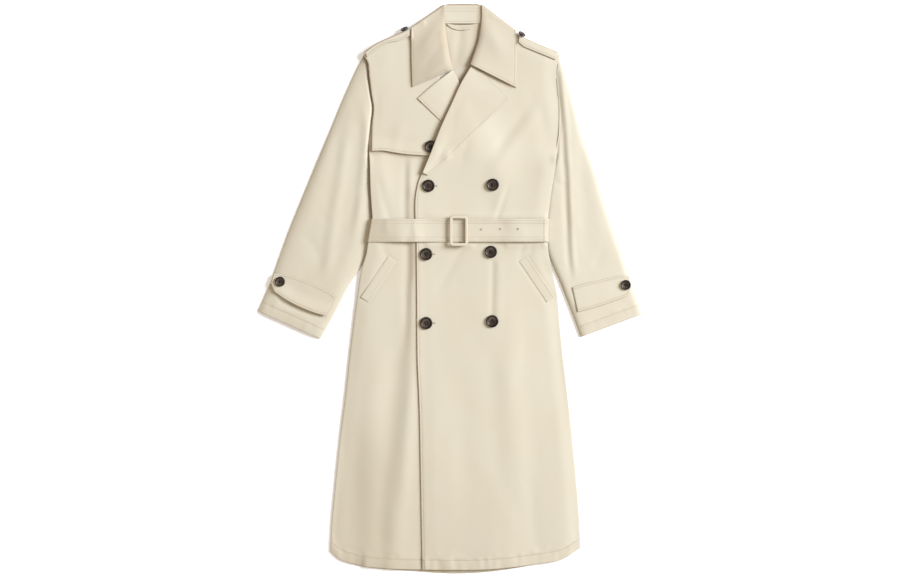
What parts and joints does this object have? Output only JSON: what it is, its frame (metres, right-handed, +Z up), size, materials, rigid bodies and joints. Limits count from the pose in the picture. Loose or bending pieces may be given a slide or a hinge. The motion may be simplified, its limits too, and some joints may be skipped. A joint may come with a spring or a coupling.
{
  "type": "trench coat",
  "caption": "Long double-breasted trench coat lying flat on its back, with wide lapels, storm flap, shoulder and cuff straps, and a buckled belt, to lie on a floor, bed or table.",
  "frame": {"origin": "middle of the bounding box in plan, on the surface that the coat lies on", "axes": "+Z up from the surface, the front of the coat up; +Y along the coat from hem to collar; +X towards the wearer's left side"},
  "size_m": [0.829, 1.2252, 0.0208],
  "materials": {
    "cloth": "matt pale beige cotton twill, belt, straps and covered buckle in the same cloth",
    "buttons": "dark brown marbled horn look, polished, four holes"
  },
  "bodies": {
    "root": {"sleeve_right": "cloth", "sleeve_left": "cloth", "back": "cloth", "collar_stand": "cloth", "hanger_loop": "cloth", "front_right": "cloth", "storm_flap": "cloth", "lapel_right": "cloth", "front_left": "cloth", "lapel_left": "cloth", "pocket_welt_right": "cloth", "pocket_welt_left": "cloth", "shoulder_strap_right": "cloth", "shoulder_strap_left": "cloth", "collar": "cloth", "belt": "cloth", "buckle": "cloth", "cuff_strap_right": "cloth", "cuff_strap_left": "cloth", "button_flap": "buttons", "button_front_1": "buttons", "button_front_2": "buttons", "button_front_3": "buttons", "button_front_4": "buttons", "button_front_5": "buttons", "button_front_6": "buttons", "button_cuff_right": "buttons", "button_cuff_left": "buttons", "button_shoulder_right": "buttons", "button_shoulder_left": "buttons"}
  },
  "joints": []
}
